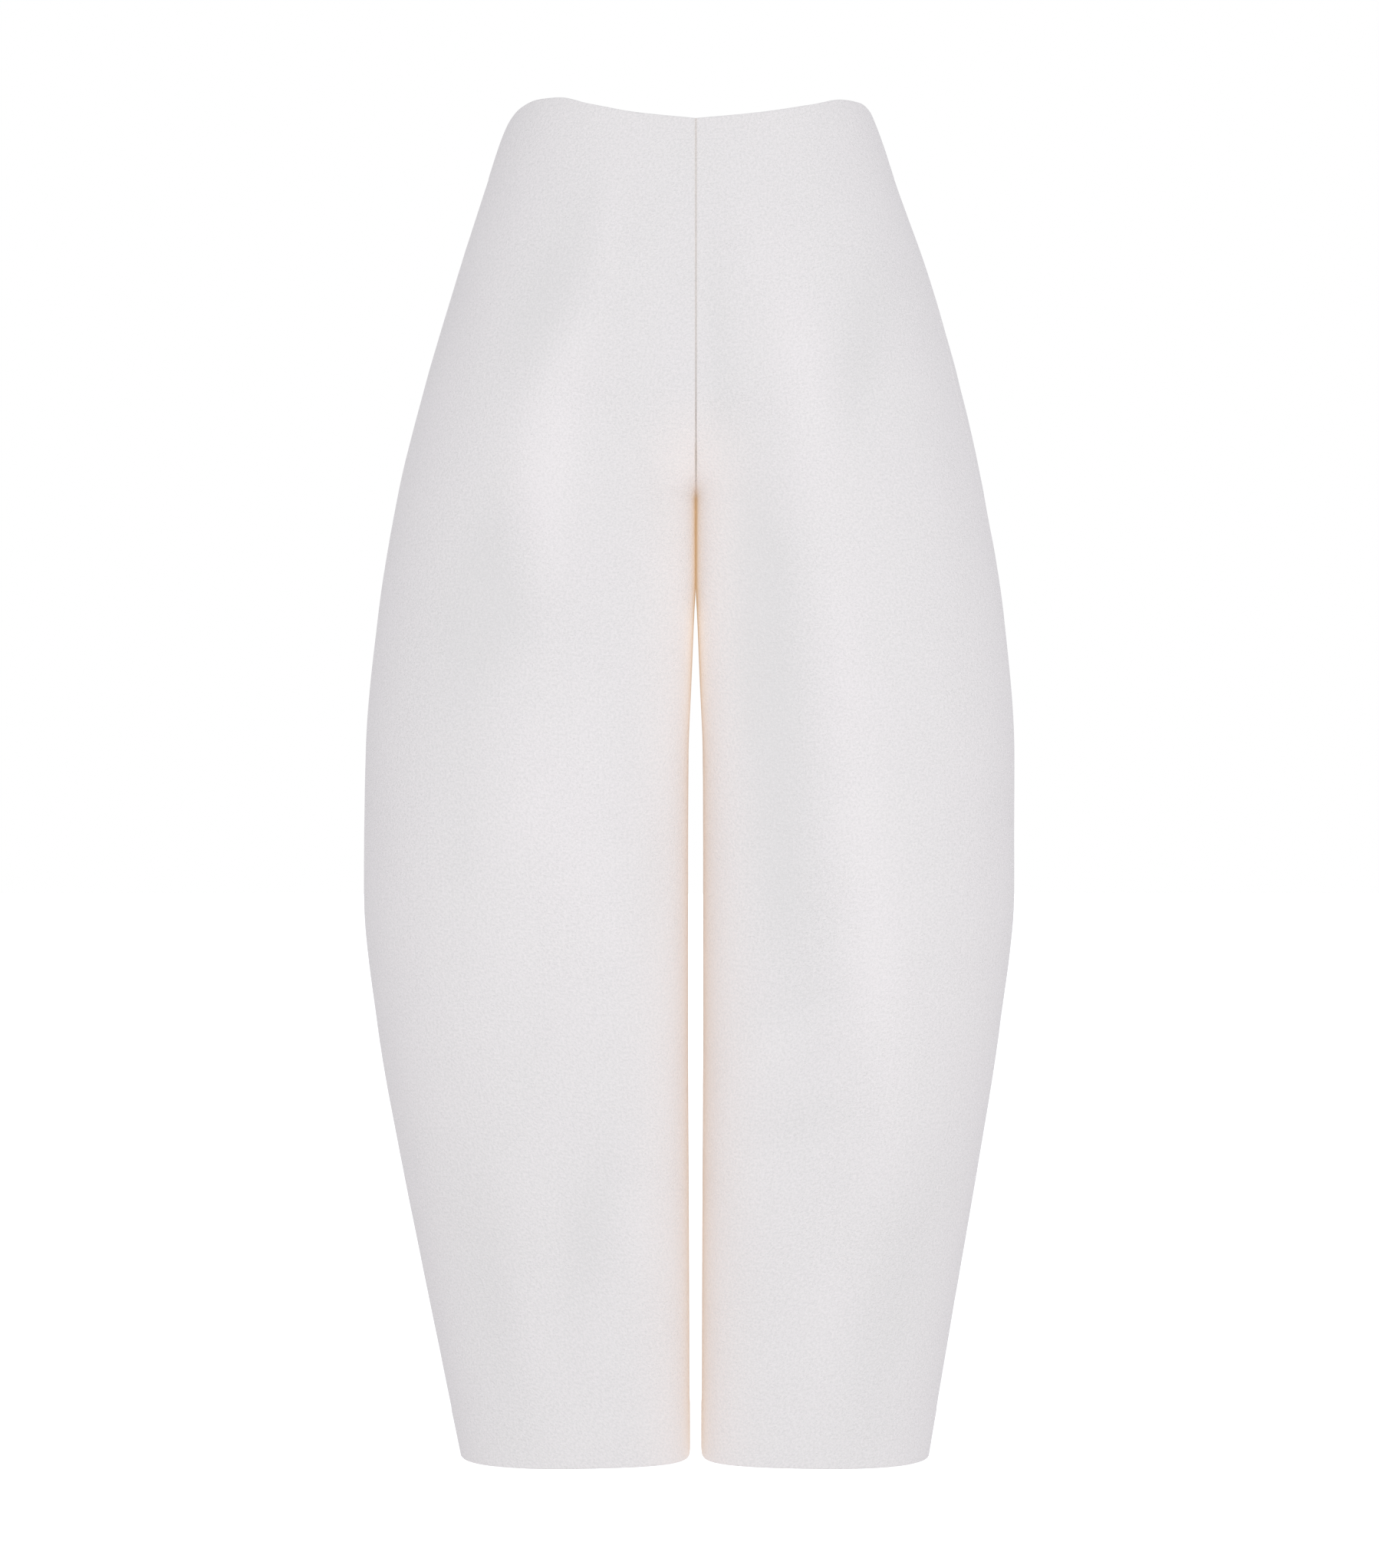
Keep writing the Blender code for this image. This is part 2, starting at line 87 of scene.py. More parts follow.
# %% [markdown]
# ## The shape of the legs
# Worn trousers are round in section, and every level section is described by a few widths and
# depths. A smooth curve through a short table gives each of them at any height. These are the
# same tables that the model was cut from, so a finer sheet lies exactly on the coarse one. Only
# the inner legs differ: here they press together below the fork, as the real cloth does.

# %% Tables of the shape
LEFT, RIGHT = 1, -1
FRONT, BACK = -1, 1

Outline = namedtuple("Outline", "z right left front back middle square")
OUTLINE = [
    Outline(0.025, 0.1315, 0.1270, 0.0945, 0.0880, -0.004, 2.15),
    Outline(0.005, 0.1412, 0.1350, 0.0960, 0.0920, -0.003, 2.10),
    Outline(-0.030, 0.1536, 0.1472, 0.1000, 0.1000, 0.002, 2.00),
    Outline(-0.100, 0.1762, 0.1724, 0.1090, 0.1130, 0.004, 1.82),
    Outline(-0.180, 0.1996, 0.1950, 0.1165, 0.1200, 0.001, 1.72),
    Outline(-0.260, 0.2188, 0.2120, 0.1205, 0.1180, -0.006, 1.78),
    Outline(-0.350, 0.2334, 0.2264, 0.1205, 0.1120, -0.006, 1.95),
    Outline(-0.450, 0.2424, 0.2340, 0.1175, 0.1070, -0.003, 2.05),
    Outline(-0.550, 0.2438, 0.2340, 0.1125, 0.1025, 0.000, 2.10),
    Outline(-0.650, 0.2336, 0.2234, 0.1055, 0.0975, 0.000, 2.10),
    Outline(-0.750, 0.2158, 0.2077, 0.0960, 0.0905, 0.000, 2.10),
    Outline(-0.850, 0.1957, 0.1905, 0.0845, 0.0820, 0.000, 2.15),
    Outline(-0.970, 0.1712, 0.1702, 0.0705, 0.0720, 0.000, 2.20),
]

Inside = namedtuple("Inside", "z crest inner corner")
INSIDE = [
    Inside(0.025, 0.030, -0.1450, 3.0),
    Inside(-0.030, 0.048, -0.1450, 3.2),
    Inside(-0.100, 0.070, -0.1200, 4.0),
    Inside(-0.160, 0.081, -0.0800, 5.5),
    Inside(-0.200, 0.087, -0.0460, 7.5),
    Inside(-0.228, 0.091, -0.0200, 9.0),
    Inside(-0.250, 0.094, -0.0070, 10.0),
    Inside(-0.2625, 0.096, -0.0010, 10.0),
    Inside(-0.268, 0.097, 0.00006, 10.0),
    Inside(-0.322, 0.103, 0.00005, 10.0),
    Inside(-0.345, 0.106, 0.0011, 9.5),
    Inside(-0.400, 0.112, 0.0034, 8.5),
    Inside(-0.450, 0.117, 0.0054, 7.5),
    Inside(-0.520, 0.121, 0.0057, 6.5),
    Inside(-0.650, 0.119, 0.0057, 5.5),
    Inside(-0.800, 0.107, 0.0050, 4.8),
    Inside(-0.970, 0.088, 0.0045, 4.4),
]

SideSeam = namedtuple("SideSeam", "z right left")
SIDE_SEAM = [
    SideSeam(0.025, 0.012, 0.032),
    SideSeam(-0.060, 0.010, 0.004),
    SideSeam(-0.130, 0.008, -0.026),
    SideSeam(-0.195, 0.007, -0.037),
    SideSeam(-0.270, 0.006, -0.026),
    SideSeam(-0.360, 0.006, -0.008),
    SideSeam(-0.480, 0.004, -0.002),
    SideSeam(-0.970, 0.000, 0.000),
]

WaistEdge = namedtuple("WaistEdge", "share front back")
WAIST_EDGE = [
    WaistEdge(0.00, 0.0105, 0.0105),
    WaistEdge(0.12, 0.0135, 0.0110),
    WaistEdge(0.24, 0.0205, 0.0125),
    WaistEdge(0.34, 0.0232, 0.0135),
    WaistEdge(0.46, 0.0222, 0.0140),
    WaistEdge(0.60, 0.0155, 0.0140),
    WaistEdge(0.78, 0.0085, 0.0140),
    WaistEdge(1.00, 0.0040, 0.0140),
]
HEM_OUTER, HEM_INNER = -0.9650, -0.9602

CREST_SQUARENESS = 2.3
INNER_CREST_SQUARENESS = 3.2
BACK_CORNER = 3.0

# %% [markdown]
# A curve that never overshoots its table keeps the outline free of ripples. Each section is four
# rounded quarters, a little squarer than an ellipse. Distances measured along the section then
# tell where the seams run, and where any point of a panel lies.

# %% Smooth curves and level sections
SEAM_OVERLAP = 0.0001
QUARTER = 160


def curve(rows, column, at, key="z"):
    """Value of a table's column, on a curve that passes each row and never overshoots."""
    places = np.array([getattr(row, key) for row in rows])
    values = np.array([getattr(row, column) for row in rows])
    order = np.argsort(places)
    places, values = places[order], values[order]
    step = np.diff(places)
    rate = np.diff(values) / step
    slope = np.zeros_like(values)
    slope[0], slope[-1] = rate[0], rate[-1]
    turning = rate[:-1] * rate[1:] <= 0
    total = np.where(turning, 1.0, rate[:-1] + rate[1:])
    slope[1:-1] = np.where(turning, 0.0, 2 * rate[:-1] * rate[1:] / total)
    at = np.clip(np.asarray(at, dtype=float), places[0], places[-1])
    k = np.clip(np.searchsorted(places, at) - 1, 0, len(step) - 1)
    t = (at - places[k]) / step[k]
    rising = t * t * (3 - 2 * t)
    start = slope[k] * step[k] * t * (1 - t) ** 2
    finish = slope[k + 1] * step[k] * t * t * (1 - t)
    return values[k] + (values[k + 1] - values[k]) * rising + start - finish


def quarter(start, finish, crest_square, side_square):
    """Across and depth shares of a rounded quarter, for angles from start to finish."""
    angle = start + (finish - start) * np.linspace(0, 1, QUARTER)
    across = np.clip(np.cos(angle), 0, 1) ** (2 / crest_square)
    return across, np.clip(np.sin(angle), 0, 1) ** (2 / side_square)


def half_section(side, z):
    """Level sections of one half at heights z, from centre front round the side to centre back."""
    z = np.asarray(z, dtype=float)[:, None]
    outer = curve(OUTLINE, "left" if side == LEFT else "right", z)
    front = curve(OUTLINE, "front", z)
    back = curve(OUTLINE, "back", z)
    middle = curve(OUTLINE, "middle", z)
    crest = curve(INSIDE, "crest", z)
    inner = curve(INSIDE, "inner", z)
    square = curve(OUTLINE, "square", z)
    corner = curve(INSIDE, "corner", z)
    kept = np.clip((crest + SEAM_OVERLAP) / (crest - inner), 0, 1)
    cut = np.arccos(kept ** (INNER_CREST_SQUARENESS / 2))
    parts = []
    for face, depth, inner_square in ((FRONT, front + middle, corner),
                                      (BACK, back - middle, BACK_CORNER)):
        across, deep = quarter(cut, math.pi / 2, INNER_CREST_SQUARENESS, inner_square)
        inside = np.stack([crest - (crest - inner) * across, middle + face * depth * deep], axis=-1)
        across, deep = quarter(math.pi / 2, 0, CREST_SQUARENESS, square)
        outside = np.stack([crest + (outer - crest) * across, middle + face * depth * deep], axis=-1)
        half = np.concatenate([inside, outside[:, 1:]], axis=1)
        parts.append(half if face == FRONT else half[:, ::-1][:, 1:])
    flat = np.concatenate(parts, axis=1)
    step = np.linalg.norm(np.diff(flat, axis=1), axis=-1)
    along = np.concatenate([np.zeros((len(flat), 1)), np.cumsum(step, axis=1)], axis=1)
    widest = along[:, 2 * QUARTER - 2]
    seam = widest + curve(SIDE_SEAM, "left" if side == LEFT else "right", z[:, 0])
    return flat, along, seam


def reach(side, z, face):
    """How far round it is from the side seam to the centre seam or inseam, at heights z."""
    _, along, seam = half_section(side, z)
    return seam if face == FRONT else along[:, -1] - seam


def place(side, z, away):
    """Points on the smooth form, away metres round from the side seam, front negative."""
    flat, along, seam = half_section(side, z)
    points = np.empty((len(flat), 3))
    for row, target in enumerate(seam + away):
        points[row, 0] = side * np.interp(target, along[row], flat[row, :, 0])
        points[row, 1] = np.interp(target, along[row], flat[row, :, 1])
    points[:, 2] = z
    return points


waist_round = sum(reach(side, [0.0105], face)[0] for side in (LEFT, RIGHT) for face in (FRONT, BACK))
print("waist", round(100 * waist_round, 1), "cm round")

# %% [markdown]
# ## Rows and columns of a panel
# A panel is a grid of rows from the waist down and columns from the side seam to the centre. A
# rolled seam is only a millimetre and a half wide, so the rows and columns crowd together at the
# edges and stay a few millimetres apart elsewhere. Rows also crowd at the fork, where the centre
# seam turns under the body and runs on down the inner leg.

# %% Grid of a panel
ACROSS, DOWN = 110, 376
EDGE_STEPS = (0, 0.00025, 0.0006, 0.0010, 0.0015, 0.0022, 0.0033)
PANEL_LENGTH = 0.985
FORK = -0.2640
FORK_NEAR = 0.030
FORK_CLOSENESS = 1.2
SEAM_SAMPLES = 1800
RUN_STEP = 0.001

Grid = namedtuple("Grid", "points from_side from_centre from_waist from_hem")


def crowded(length, count):
    """Places along a length, close together near both ends. Length is a column of lengths."""
    near = np.array(EDGE_STEPS)[None, :]
    middle = np.linspace(0, 1, count + 1 - 2 * (near.shape[1] - 1))[1:-1][None, :]
    start = near + 0 * length
    body = near[0, -1] + middle * (length - 2 * near[0, -1])
    return np.concatenate([start, body, (length - near)[:, ::-1]], axis=1)


def seam_track(side, face, top):
    """Heights and reaches down the centre seam and inseam, in short steps all the way.

    The seam runs level under the body just above the fork, where height alone can't place it.
    """
    heights = np.linspace(top, HEM_INNER, SEAM_SAMPLES)
    reaches = reach(side, heights, face)
    depth, spans = [heights[:1]], [reaches[:1]]
    for height, start, finish in zip(heights[1:], reaches, reaches[1:]):
        count = 1 + int(abs(finish - start) / RUN_STEP)
        depth.append(np.full(count, height))
        spans.append(np.linspace(start, finish, count + 1)[1:])
    return np.concatenate(depth), np.concatenate(spans)


def down_columns(points):
    """Distance down each column of a grid of points."""
    step = np.linalg.norm(np.diff(points, axis=0), axis=-1)
    return np.concatenate([np.zeros((1, points.shape[1])), np.cumsum(step, axis=0)])


def panel_grid(side, face):
    """The smooth form of one panel, with each point's distance from the panel's four edges."""
    edge = "front" if face == FRONT else "back"
    top = float(curve(WAIST_EDGE, edge, 1.0, key="share"))
    depth, spans = seam_track(side, face, top)
    seam_line = place(side, depth, face * spans)
    closeness = 1 + FORK_CLOSENESS * np.exp(-((depth[1:] - FORK) / FORK_NEAR) ** 2)
    length = np.linalg.norm(np.diff(seam_line, axis=0), axis=1) * closeness
    length = np.concatenate([[0], np.cumsum(length)])
    fall = crowded(np.array([[PANEL_LENGTH]]), DOWN)[0] / PANEL_LENGTH
    centre_z = np.interp(fall * length[-1], length, depth)
    centre_span = np.interp(fall * length[-1], length, spans)

    span = (centre_span + SEAM_OVERLAP)[:, None]
    from_side = crowded(span, ACROSS)
    share = from_side / span
    drop_centre = ((top - centre_z) / (top - HEM_INNER))[:, None]
    drop = fall[:, None] + (drop_centre - fall[:, None]) * share ** 2
    waist = curve(WAIST_EDGE, edge, share, key="share")
    hem = HEM_OUTER + (HEM_INNER - HEM_OUTER) * share ** 2
    z = waist + (hem - waist) * drop

    points = np.array([place(side, z_row, face * (away - SEAM_OVERLAP))
                       for z_row, away in zip(z, from_side)])
    fallen = down_columns(points)
    return Grid(points, from_side, span - from_side, fallen, fallen[-1] - fallen)


def outward(points, side, face):
    """Unit vectors that stand out of a grid of points."""
    down = np.gradient(points, axis=0)
    across = np.gradient(points, axis=1)
    normals = side * face * np.cross(down, across)
    return normals / np.linalg.norm(normals, axis=-1, keepdims=True)


# %% [markdown]
# ## Soft creases
# Heavy crepe doesn't wrinkle, it bends. What shows is a few broad hollows and ridges a hand or
# more long: a hollow under each hip, a long ridge down each thigh, slack at the fork and behind
# the knees. A cloth simulation gives creases anywhere it likes, so each one is listed instead,
# as a soft oval bump with its own size, height and lean. The broad ones are those of the
# model, and the finer ones lie between them.

# %% Tables of folds
Fold = namedtuple("Fold", "face x z along across height lean")
BROAD_FOLDS = [
    Fold(FRONT, -0.110, -0.127, 0.065, 0.024, -0.0030, 21),
    Fold(FRONT, -0.106, -0.240, 0.075, 0.028, 0.0028, 4),
    Fold(FRONT, -0.157, -0.350, 0.080, 0.032, -0.0032, 12),
    Fold(FRONT, -0.090, -0.520, 0.120, 0.036, 0.0018, 3),
    Fold(FRONT, -0.078, -0.800, 0.065, 0.018, -0.0018, 10),
    Fold(FRONT, -0.150, -0.830, 0.110, 0.026, -0.0022, -8),
    Fold(FRONT, 0.078, -0.190, 0.100, 0.022, 0.0020, -10),
    Fold(FRONT, 0.122, -0.145, 0.060, 0.020, -0.0021, 14),
    Fold(FRONT, 0.052, -0.400, 0.150, 0.026, -0.0030, -5),
    Fold(FRONT, 0.118, -0.520, 0.180, 0.026, 0.0020, -6),
    Fold(FRONT, 0.150, -0.830, 0.110, 0.026, -0.0022, 12),
    Fold(BACK, -0.095, -0.090, 0.060, 0.022, -0.0028, 24),
    Fold(BACK, 0.098, -0.100, 0.065, 0.024, -0.0026, -28),
    Fold(BACK, -0.085, -0.300, 0.100, 0.030, -0.0026, 32),
    Fold(BACK, 0.100, -0.285, 0.090, 0.028, -0.0022, -26),
    Fold(BACK, -0.135, -0.430, 0.130, 0.028, 0.0024, 6),
    Fold(BACK, 0.150, -0.470, 0.120, 0.026, -0.0028, -8),
    Fold(BACK, -0.085, -0.640, 0.120, 0.028, -0.0026, -7),
    Fold(BACK, 0.095, -0.700, 0.130, 0.030, 0.0020, 5),
]
FINE_FOLDS = [
    Fold(FRONT, -0.062, -0.073, 0.045, 0.010, 0.0009, 3),
    Fold(FRONT, -0.086, -0.159, 0.032, 0.011, 0.0007, 22),
    Fold(FRONT, -0.110, -0.236, 0.036, 0.015, 0.0008, 5),
    Fold(FRONT, -0.102, -0.301, 0.030, 0.012, 0.0008, -6),
    Fold(FRONT, -0.032, -0.255, 0.028, 0.006, -0.0006, -19),
    Fold(FRONT, -0.034, -0.310, 0.026, 0.007, 0.0007, -52),
    Fold(FRONT, -0.151, -0.296, 0.036, 0.016, -0.0008, 8),
    Fold(FRONT, -0.129, -0.350, 0.030, 0.015, -0.0010, -22),
    Fold(FRONT, -0.119, -0.470, 0.050, 0.018, 0.0007, 6),
    Fold(FRONT, -0.168, -0.513, 0.065, 0.017, -0.0009, -3),
    Fold(FRONT, -0.062, -0.572, 0.032, 0.013, 0.0007, -15),
    Fold(FRONT, -0.028, -0.535, 0.040, 0.011, -0.0008, 6),
    Fold(FRONT, -0.028, -0.668, 0.034, 0.013, 0.0007, -8),
    Fold(FRONT, -0.112, -0.655, 0.060, 0.016, -0.0006, 9),
    Fold(FRONT, -0.080, -0.800, 0.060, 0.014, -0.0003, 12),
    Fold(FRONT, -0.124, -0.862, 0.050, 0.013, 0.0006, -8),
    Fold(FRONT, -0.038, -0.796, 0.050, 0.012, 0.0006, 5),
    Fold(FRONT, 0.014, -0.150, 0.066, 0.011, -0.0013, -6),
    Fold(FRONT, 0.016, -0.212, 0.030, 0.011, -0.0010, 4),
    Fold(FRONT, 0.040, -0.085, 0.045, 0.013, 0.0005, -12),
    Fold(FRONT, 0.118, -0.190, 0.034, 0.012, -0.0007, 20),
    Fold(FRONT, 0.047, -0.307, 0.036, 0.015, -0.0012, -12),
    Fold(FRONT, 0.033, -0.385, 0.040, 0.012, -0.0007, -5),
    Fold(FRONT, 0.102, -0.360, 0.080, 0.014, 0.0008, -7),
    Fold(FRONT, 0.164, -0.391, 0.030, 0.004, -0.0003, 87),
    Fold(FRONT, 0.062, -0.546, 0.056, 0.021, -0.0013, -12),
    Fold(FRONT, 0.073, -0.573, 0.020, 0.009, 0.0005, -30),
    Fold(FRONT, 0.128, -0.620, 0.070, 0.014, 0.0007, -5),
    Fold(FRONT, 0.072, -0.626, 0.050, 0.009, -0.0006, 74),
    Fold(FRONT, 0.046, -0.668, 0.026, 0.015, 0.0008, 48),
    Fold(FRONT, 0.074, -0.715, 0.030, 0.015, -0.0009, 64),
    Fold(FRONT, 0.043, -0.753, 0.024, 0.014, 0.0007, 40),
    Fold(FRONT, 0.026, -0.810, 0.050, 0.012, -0.0006, -4),
    Fold(FRONT, 0.095, -0.850, 0.060, 0.015, 0.0006, 6),
    Fold(BACK, -0.050, -0.170, 0.050, 0.014, 0.0008, 26),
    Fold(BACK, 0.055, -0.180, 0.055, 0.014, 0.0007, -24),
    Fold(BACK, -0.150, -0.260, 0.060, 0.015, 0.0008, 20),
    Fold(BACK, 0.165, -0.330, 0.060, 0.015, 0.0008, -16),
    Fold(BACK, -0.055, -0.350, 0.050, 0.013, -0.0009, 40),
    Fold(BACK, 0.058, -0.345, 0.045, 0.013, -0.0008, -38),
    Fold(BACK, -0.160, -0.540, 0.050, 0.013, -0.0009, 62),
    Fold(BACK, -0.080, -0.520, 0.045, 0.012, -0.0008, -58),
    Fold(BACK, 0.075, -0.550, 0.050, 0.013, -0.0009, 55),
    Fold(BACK, 0.150, -0.590, 0.040, 0.012, -0.0007, -64),
    Fold(BACK, -0.120, -0.780, 0.080, 0.016, 0.0008, 6),
    Fold(BACK, 0.130, -0.840, 0.080, 0.016, -0.0008, -5),
]
BROAD_CLEAR_OF_CENTRE, FINE_CLEAR_OF_CENTRE = 0.035, 0.012


def fold_height(folds, clear_of_centre, points, normals):
    """How far a table of folds lifts the cloth, fading out beside the centre seams."""
    lift = np.zeros(points.shape[:-1])
    for fold in folds:
        lean = math.radians(fold.lean)
        aside, above = points[..., 0] - fold.x, points[..., 2] - fold.z
        across = aside * math.cos(lean) - above * math.sin(lean)
        along = aside * math.sin(lean) + above * math.cos(lean)
        fade = np.exp(-(across / fold.across) ** 2 - (along / fold.along) ** 2)
        lift += fold.height * fade * np.clip(fold.face * normals[..., 1], 0, 1)
    clear = np.clip(np.abs(points[..., 0]) / clear_of_centre, 0, 1)
    return lift * clear * clear * (3 - 2 * clear)


print(len(BROAD_FOLDS), "broad folds and", len(FINE_FOLDS), "fine ones")

# %% [markdown]
# No hand can press a sheet perfectly even. A slow, weak noise over the whole cloth takes away the
# look of a computed surface. It is read at each point's place in space, so it needs no picture.

# %% Slight unevenness
WOBBLE = 0.00022
WOBBLE_LENGTH = 0.034


def wobble(points):
    """A slow unevenness of the cloth, the same on each run."""
    flat = points.reshape(-1, 3) / WOBBLE_LENGTH
    values = [noise.noise(Vector(p)) + 0.5 * noise.noise(Vector(p) * 2.3) for p in flat]
    return WOBBLE * np.array(values).reshape(points.shape[:-1])


# %% [markdown]
# ## Sewn and turned edges
# Where two panels are sewn, each rolls inward over the last millimetre and a half and they meet
# at the bottom of a fine groove. Under it the seam allowances are pressed open, so the cloth
# stands very slightly proud beside the seam. At the waist and the hems the cloth is turned in,
# which rounds the edge and doubles the wall. All of this depends only on the distance from an
# edge, so it is a formula and not a set of separate pieces.

# %% Edge formulas
CLOTH = 0.0018
SEAM_ROLL, SEAM_DEPTH = 0.0015, 0.0010
CREASE_TOP, CREASE_STEP = 0.232, 0.016
ZIP_ROLL, ZIP_DEPTH = 0.0022, 0.0015
ZIP_END = -0.204
NOTCH_TALL, NOTCH_WIDE, NOTCH_DEPTH = 0.0035, 0.0040, 0.0013
ALLOWANCE, ALLOWANCE_PROUD, ALLOWANCE_THICK = 0.0125, 0.00012, 0.0007
FACING, HEM_TURN = 0.042, 0.036
TURN_PROUD, TURN_THICK = 0.00030, 0.0009
TURN_STEP = 0.0030
TAPE_CLEAR, TAPE_FOOT = 0.018, 0.216
EDGE_ROLL, EDGE_DEPTH = 0.0015, 0.0012


def within(distance, limit, step):
    """1 nearer than a limit and 0 beyond it, with a soft step between."""
    t = np.clip((limit - distance) / step + 0.5, 0, 1)
    return t * t * (3 - 2 * t)


def rolled(distance, roll):
    """1 at an edge and 0 past its roll, along a quarter of a circle."""
    t = np.clip(distance / roll, 0, 1)
    return 1 - np.sqrt(np.clip(1 - (1 - t) ** 2, 0, 1))


def edge_shape(grid, side):
    """How far the outer and the inner face move inward near the panel's edges."""
    z = grid.points[..., 2]
    zipped = within(-z, -ZIP_END, 0.004) if side == LEFT else np.zeros_like(z)
    side_roll = SEAM_ROLL + (ZIP_ROLL - SEAM_ROLL) * zipped
    side_depth = SEAM_DEPTH + (ZIP_DEPTH - SEAM_DEPTH) * zipped
    sewn = np.maximum(side_depth * rolled(grid.from_side, side_roll),
                      SEAM_DEPTH * rolled(grid.from_centre, SEAM_ROLL))
    turned = EDGE_DEPTH * np.maximum(rolled(grid.from_waist, EDGE_ROLL),
                                     rolled(grid.from_hem, EDGE_ROLL))
    nearest = np.minimum(grid.from_side, grid.from_centre)
    allowance = within(nearest, ALLOWANCE, 0.002)
    doubled = np.maximum(within(grid.from_waist, FACING, TURN_STEP),
                         within(grid.from_hem, HEM_TURN, TURN_STEP))
    outer = np.maximum(sewn, turned) - ALLOWANCE_PROUD * allowance - TURN_PROUD * doubled
    if side == LEFT:
        outer += NOTCH_DEPTH * np.exp(-((z - ZIP_END) / NOTCH_TALL) ** 2
                                      - (grid.from_side / NOTCH_WIDE) ** 2)
    over_tape = within(grid.from_side, TAPE_CLEAR, 0.003) * within(-z, TAPE_FOOT, 0.004)
    single = 1 - over_tape if side == LEFT else 1.0
    thick = CLOTH + (ALLOWANCE_THICK * allowance + TURN_THICK * doubled) * single
    inner = thick - (thick - EDGE_DEPTH - 0.0001) * turned / EDGE_DEPTH
    return outer, np.maximum(inner, outer + 0.0001)


# %% [markdown]
# ## From flat cloth to a leg panel
# A tailor starts with a flat piece, and so does this: Blender's grid primitive is the cloth, and
# it brings a UV map with it. Every point of the grid is then laid on its place on the body. A
# Solidify modifier gives the sheet its second face, whose points are set to the inner form. The
# UV map is rewritten in metres of cloth, so that the weave later keeps its scale on every panel.

# %% Build one panel
# Painted light and shade, stored on each panel's points for the crepe: a warm tint and glow on the
# inner legs, glows at the fork crease and at the gap between the legs, shade in the hollows between
# folds and a shade line along the centre seam.
TONE_LIFT = 0.0026
INNER_LEG_TOP, INNER_LEG_STEP, INNER_LEG_WIDE = 0.215, 0.070, 0.030
GAP_TOP, GAP_STEP, GAP_WIDE = 0.345, 0.030, 0.0085
SEAM_LINE, SEAM_FAINT, SEAM_STRONG = 0.0010, 0.18, 1.0
BACK_GLOW = 0.35
GOLD_TOP, GOLD_STEP, GOLD_WIDE = 0.262, 0.014, 0.0036


def paint(sheet, name, values):
    """Store one number for each point of a sheet, for its material to read."""
    layer = sheet.data.attributes.new(name, "FLOAT", "POINT")
    layer.data.foreach_set("value", np.tile(values, 2))


def flat_cloth(name):
    """A flat grid of cloth."""
    bpy.ops.object.select_all(action="DESELECT")
    bpy.ops.mesh.primitive_grid_add(x_subdivisions=ACROSS, y_subdivisions=DOWN, size=1)
    sheet = bpy.context.object
    sheet.name = sheet.data.name = name
    return sheet


def grid_places(mesh):
    """The row and column of each vertex of a flat grid."""
    co = np.empty(len(mesh.vertices) * 3)
    mesh.vertices.foreach_get("co", co)
    co = co.reshape(-1, 3)
    rows = np.rint((0.5 - co[:, 1]) * DOWN).astype(int)
    return rows, np.rint((co[:, 0] + 0.5) * ACROSS).astype(int)


